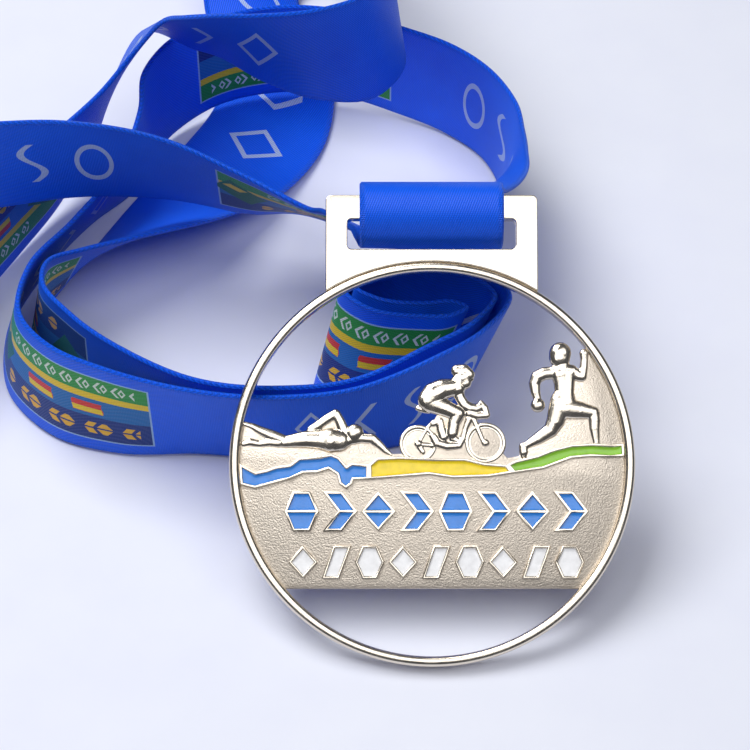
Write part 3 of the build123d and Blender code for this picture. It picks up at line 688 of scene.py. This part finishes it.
# The print's coats, in the order they go on: its colour, its place, and a second shape that trims it. A label of
# coloured bands with rows of plain marks comes first in each repeat, and then four pale marks on the bare blue.
LABEL = printed("bar", (20, 12.5), (20, 9.3))
GOLD_ROW = printed("bar", (17, 18.2), (14.6, 1.6))
PALE_ROW = printed("bar", (16.5, 5.9), (13.8, 1.45))
COATS = [
    ("9FC0E8", LABEL, None),
    ("2E9A3C", printed("bar", (20, 6.0), (19.65, 2.45)), None),
    ("F2CE1B", printed("bar", (20, 9.0), (19.65, 0.9)), None),
    ("1E6FB4", printed("bar", (20, 12.6), (19.65, 2.75)), None),
    ("14327F", printed("bar", (20, 18.2), (19.65, 3.25)), None),
    ("0F6E3A", printed("lozenge", (35.5, 11.5), (5.2, 6.0), lean=0.3), LABEL),
    ("F2CE1B", printed("lozenge", (36.5, 9.5), (2.4, 1.6), lean=0.5), LABEL),
    ("DCE8D8", printed("bar", (0, 5.9), (0.28, 1.45), lean=0.7, bend="chevron", pitch=3.4), PALE_ROW),
    ("DCE8D8", printed("lozenge", (1.6, 5.9), (0.75, 1.3), stroke=0.5, pitch=3.4), PALE_ROW),
    ("F0B92A", printed("lozenge", (1.8, 18.2), (1.7, 2.1), pitch=7.2), GOLD_ROW),
    ("F0B92A", printed("bar", (5.0, 18.2), (0.8, 1.6), lean=0.6, bend="chevron", pitch=7.2), GOLD_ROW),
    ("14327F", printed("bar", (17, 18.2), (15, 0.22)), None),
    ("E0392B", printed("bar", (12, 12.5), (2.9, 1.5), lean=0.2, bend="wave"), None),
    ("F4D21F", printed("bar", (12, 13.2), (2.9, 0.7), lean=0.2), None),
    ("E0392B", printed("bar", (22, 12.5), (2.9, 1.5), lean=0.2, bend="wave"), None),
    ("F4D21F", printed("bar", (22, 13.2), (2.9, 0.7), lean=0.2), None),
    ("B9CCF5", printed("ring", (64, 12.5), (3.6, 6.1), stroke=0.42), None),
    ("B9CCF5", printed("bar", (75, 12.5), (0.65, 5.8), lean=1.9, bend="wave"), None),
    ("B9CCF5", printed("bar", (87.5, 12.5), (0.65, 5.8), lean=0.6, bend="chevron"), None),
    ("B9CCF5", printed("lozenge", (97, 12.5), (4.0, 6.4), stroke=0.26), None),
]
# The blue ground is a little uneven where the dye took more or less.
cloth = node(ribbon_satin, "ShaderNodeTexCoord")
mottle = node(ribbon_satin, "ShaderNodeTexNoise", {
    "Vector": cloth.outputs["Object"], "Scale": 1 / (6 * MM), "Detail": 3.0})
drawing = node(ribbon_satin, "ShaderNodeMix", {
    0: mottle.outputs["Fac"], 6: linear("0C5AF2"), 7: linear("1468FF")}, data_type="RGBA").outputs[2]
for colour, place, trim in COATS:
    if trim:
        place = node(ribbon_satin, "ShaderNodeMath", {0: place, 1: trim}, operation="MULTIPLY").outputs["Value"]
    drawing = node(ribbon_satin, "ShaderNodeMix", {0: place, 6: drawing, 7: linear(colour)},
                   data_type="RGBA").outputs[2]

weave_uv = node(ribbon_satin, "ShaderNodeUVMap", uv_map="weave")
slant = node(ribbon_satin, "ShaderNodeMapping", {
    "Vector": weave_uv.outputs["UV"], "Rotation": (0, 0, math.radians(RIB_SLANT)),
    "Scale": (1 / UV_SCALE, 1 / UV_SCALE, 1)})
ribs = node(ribbon_satin, "ShaderNodeTexWave", {
    "Vector": slant.outputs["Vector"], "Scale": WAVE_TURN / RIB, "Distortion": 0.6, "Detail": 2.0,
    "Detail Scale": 0.6}, bands_direction="X")
square_on = node(ribbon_satin, "ShaderNodeMapping", {
    "Vector": weave_uv.outputs["UV"], "Scale": (1 / UV_SCALE, 1 / UV_SCALE, 1)})
wefts = node(ribbon_satin, "ShaderNodeTexWave", {
    "Vector": square_on.outputs["Vector"], "Scale": WAVE_TURN / WEFT, "Distortion": 0.4}, bands_direction="X")
weave = node(ribbon_satin, "ShaderNodeMath", {
    0: wefts.outputs["Fac"], 1: WEFT_SHARE, 2: ribs.outputs["Fac"]}, operation="MULTIPLY_ADD")
# Painted shade and painted highlight: the print is darkened to 0.72 in the weave's valleys and lightened to 1.12 on its
# crests.
rib_painted_shade_and_highlight = node(ribbon_satin, "ShaderNodeMapRange", {
    "Value": weave.outputs["Value"], "From Min": 0.0, "From Max": 1 + WEFT_SHARE, "To Min": 0.72, "To Max": 1.12})
drawing_with_painted_rib_shade = node(ribbon_satin, "ShaderNodeVectorMath", {0: drawing, "Scale": rib_painted_shade_and_highlight.outputs["Result"]}, operation="SCALE")
ribbon_satin.node_tree.links.new(drawing_with_painted_rib_shade.outputs["Vector"], shader.inputs["Base Color"])
relief = node(ribbon_satin, "ShaderNodeBump", {
    "Height": weave.outputs["Value"], "Strength": 0.7, "Distance": 0.08 * MM})
from_middle = node(ribbon_satin, "ShaderNodeMath", {0: print_across, 1: RIBBON_WIDTH / 2}, operation="SUBTRACT")
from_middle = node(ribbon_satin, "ShaderNodeMath", {0: from_middle.outputs["Value"]}, operation="ABSOLUTE")
bead = node(ribbon_satin, "ShaderNodeMapRange", {
    "Value": from_middle.outputs["Value"], "From Min": RIBBON_WIDTH / 2 - SELVEDGE,
    "From Max": RIBBON_WIDTH / 2 - 0.6 * SELVEDGE}, interpolation_type="SMOOTHSTEP")
edge_beads = node(ribbon_satin, "ShaderNodeMath", {
    0: wefts.outputs["Fac"], 1: bead.outputs["Result"]}, operation="MULTIPLY")
relief = node(ribbon_satin, "ShaderNodeBump", {
    "Height": edge_beads.outputs["Value"], "Strength": 0.6, "Distance": 0.15 * MM,
    "Normal": relief.outputs["Normal"]})
ribbon_satin.node_tree.links.new(relief.outputs["Normal"], shader.inputs["Normal"])
finish_with(ribbon, ribbon_satin)


# ---- Seam ----
# Where the ribbon is closed into a loop, one end laps over the other and a row of polyester thread is sewn across.
# The lap runs from one station to the next, and each stitch is a short thread whose ends dip into the cloth.
LAP_START = 34 * SECTIONS
STITCH_COUNT = 9
STITCH_LENGTH = 1.8
STITCH_THREAD = 0.16
STITCH_PLY = 0.25
STITCH_HEIGHT = 0.12
STITCH_DIP = 0.3
STITCH_CUTS = (-0.6, -0.2, 0.2, 0.6)
SEWN_AT = 0.7
LAP_GAP = 0.01
lap = ribbon_mesh("seam_lap", LAP_START, LAP_START + SECTIONS, lift=RIBBON_THICKNESS + LAP_GAP)
finish_with(lap, ribbon_satin)
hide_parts("ribbon_seam_lap")

# Glossy twisted filament: its plies are drawn 0.25 mm apart and wind round the stitch, with painted shade in the
# grooves between them and painted highlight on their crowns.
sewing_thread, shader = surface("twisted_polyester_thread", {
    "Base Color": linear("1E4FD8"), "Roughness": 0.4, "Sheen Weight": 0.3})
place = node(sewing_thread, "ShaderNodeTexCoord")
wound = node(sewing_thread, "ShaderNodeTexWave", {
    "Vector": place.outputs["Object"], "Scale": WAVE_TURN / (STITCH_PLY * MM), "Distortion": 0.5},
    bands_direction="DIAGONAL")
twist = node(sewing_thread, "ShaderNodeBump", {
    "Height": wound.outputs["Fac"], "Strength": 0.5, "Distance": 0.04 * MM})
# Painted shade and painted highlight: the thread's colour is darker where the ply wave is low and lighter where it is
# high.
shade = node(sewing_thread, "ShaderNodeMix", {
    0: wound.outputs["Fac"], 6: linear("1743C4"), 7: linear("2A5FE8")}, data_type="RGBA")
sewing_thread.node_tree.links.new(shade.outputs[2], shader.inputs["Base Color"])
sewing_thread.node_tree.links.new(twist.outputs["Normal"], shader.inputs["Normal"])

bpy.ops.object.select_all(action="DESELECT")
bpy.ops.mesh.primitive_cylinder_add(
    vertices=12, radius=STITCH_THREAD, depth=STITCH_LENGTH, end_fill_type="NGON", rotation=(0, math.pi / 2, 0))
stitch = bpy.context.object
bpy.ops.object.transform_apply(location=True, rotation=True, scale=True)
bpy.ops.object.mode_set(mode="EDIT")
for cut in STITCH_CUTS:
    bpy.ops.mesh.select_all(action="SELECT")
    bpy.ops.mesh.bisect(plane_co=(cut, 0, 0), plane_no=(1, 0, 0))
bpy.ops.object.mode_set(mode="OBJECT")
for vertex in stitch.data.vertices:
    vertex.co.z -= STITCH_DIP * (2 * vertex.co.x / STITCH_LENGTH) ** 4
sewn_at = LAP_START + round(SECTIONS * SEWN_AT)
seam_along = (middles[sewn_at + 1] - middles[sewn_at]).normalized()
seam_out = acrosses[sewn_at].cross(seam_along).normalized()
turn = Matrix((acrosses[sewn_at], seam_along, seam_out)).transposed().to_4x4() @ Matrix.Scale(MM, 4)
height = 1.5 * RIBBON_THICKNESS + STITCH_HEIGHT
row = []
for k in range(STITCH_COUNT):
    one = stitch.copy()
    one.data = stitch.data.copy()
    bpy.context.collection.objects.link(one)
    place = ((k + 0.5) / STITCH_COUNT - 0.5) * RIBBON_WIDTH
    seat = middles[sewn_at] + (acrosses[sewn_at] * place + seam_out * height) * MM
    one.data.transform(Matrix.Translation(seat) @ turn)
    row.append(one)
bpy.data.objects.remove(stitch)
pick(*row)
bpy.ops.object.join()
stitching = bpy.context.object
stitching.name = "seam_stitches"
pick(stitching)
bpy.ops.object.shade_smooth_by_angle(angle=math.radians(50))
finish_with(stitching, sewing_thread)
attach(stitching, "ribbon_loop")
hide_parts("seam_stitching")


# ---- Floor, light and camera ----
# A sheet of matt white studio board, lit by two large soft boxes, and the camera above and in front.
# The first box, high up, lights the floor and ribbon; the second, over the camera, is what the metal mirrors.
TARGET = Vector((-9.83, 11.64, 30.09))
CAMERA_AT = Vector((-9.83, -309.75, 413.1))
SENSOR = 36.0
LENS = 139.2
studio_board, shader = surface("matt_studio_board", {"Base Color": linear("EAEDF9"), "Roughness": 0.75})
place = node(studio_board, "ShaderNodeTexCoord")
tooth = node(studio_board, "ShaderNodeTexNoise", {
    "Vector": place.outputs["Object"], "Scale": 1 / (12 * MM), "Detail": 3.0})
shade = node(studio_board, "ShaderNodeMix", {
    0: tooth.outputs["Fac"], 6: linear("E6E9F7"), 7: linear("ECEFFA")}, data_type="RGBA")
studio_board.node_tree.links.new(shade.outputs[2], shader.inputs["Base Color"])
bpy.ops.object.select_all(action="DESELECT")
bpy.ops.mesh.primitive_plane_add(size=6)
floor = bpy.context.object
floor.name = "studio_floor"
finish_with(floor, studio_board)

world = bpy.data.worlds.new("studio")
bpy.context.scene.world = world
world.use_nodes = True
background = world.node_tree.nodes["Background"]
background.inputs["Color"].default_value = linear("E8ECFA")
background.inputs["Strength"].default_value = 0.1

for name, place, size, power in (
        ("soft_box_above", (-0.35, 0.15, 0.9), (0.7, 0.6), 8.0),
        ("soft_box_in_front", (0.12, -0.42, 0.9), (1.1, 0.5), 3.7)):
    light = bpy.data.lights.new(name, "AREA")
    light.shape = "RECTANGLE"
    light.size, light.size_y = size
    light.energy = power
    box = bpy.data.objects.new(name, light)
    box.location = place
    box.rotation_euler = (Vector((0, 0, 0)) - Vector(place)).to_track_quat("-Z", "Y").to_euler()
    bpy.context.collection.objects.link(box)

camera_data = bpy.data.cameras.new("camera")
camera_data.sensor_width = SENSOR
camera_data.lens = LENS
camera_data.clip_start = 0.01
camera_data.clip_end = 20
camera = bpy.data.objects.new("camera", camera_data)
camera.location = (CAMERA_AT - BAR) * MM + hinge
camera.rotation_euler = (TARGET - CAMERA_AT).to_track_quat("-Z", "Y").to_euler()
bpy.context.collection.objects.link(camera)
bpy.context.scene.camera = camera
bpy.context.scene.view_settings.view_transform = "Standard"
